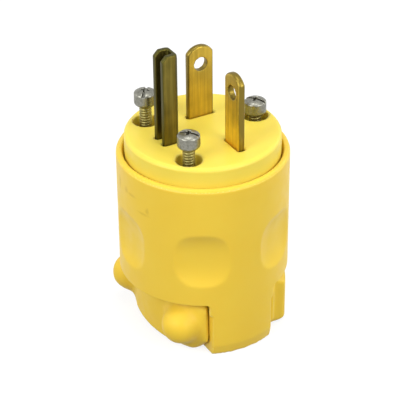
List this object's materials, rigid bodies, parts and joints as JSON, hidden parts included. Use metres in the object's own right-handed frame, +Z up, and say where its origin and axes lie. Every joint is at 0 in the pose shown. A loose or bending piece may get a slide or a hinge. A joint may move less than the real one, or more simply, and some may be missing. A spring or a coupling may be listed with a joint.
{
  "type": "grounding plug",
  "caption": "Round yellow three-pin grounding plug for field wiring, with a raised face, backed-out screws, thumb dimples and cord jaws at its foot.",
  "frame": {"origin": "on the axis of the sleeve, on the surface that its feet stand on", "axes": "+Z up along the blades, +Y from the grounding pin to the power blades, +X from the hot blade to the neutral blade"},
  "size_m": [0.0384, 0.0404, 0.0684],
  "materials": {
    "yellow_shell": "satin",
    "yellow_face": "satin",
    "yellow_inner": "satin",
    "yellow_jaw": "satin",
    "seal_rubber": "matt",
    "blade_brass": "brushed",
    "pin_brass": "brushed",
    "plated_screw": "plated",
    "zinc_steel": "plated",
    "brass_screw": "plain",
    "nickel_screw": "plated",
    "green_screw": "dyed"
  },
  "bodies": {
    "root": {"outer_sleeve": "yellow_shell", "face_insert": "yellow_face", "wire_guide": "yellow_inner", "dust_seal": "seal_rubber", "hot_blade": "blade_brass", "neutral_blade": "blade_brass", "ground_pin": "pin_brass", "twin_jaw": "yellow_jaw", "single_jaw": "yellow_jaw", "hot_clamp_plate": "zinc_steel", "hot_terminal_screw": "brass_screw", "neutral_clamp_plate": "zinc_steel", "neutral_terminal_screw": "nickel_screw", "ground_clamp_plate": "zinc_steel", "ground_terminal_screw": "green_screw", "left_long_screw": "plated_screw", "left_clamp_nut": "zinc_steel", "front_long_screw": "plated_screw", "front_clamp_nut": "zinc_steel", "rear_long_screw": "plated_screw", "rear_clamp_nut": "zinc_steel"}
  },
  "joints": []
}
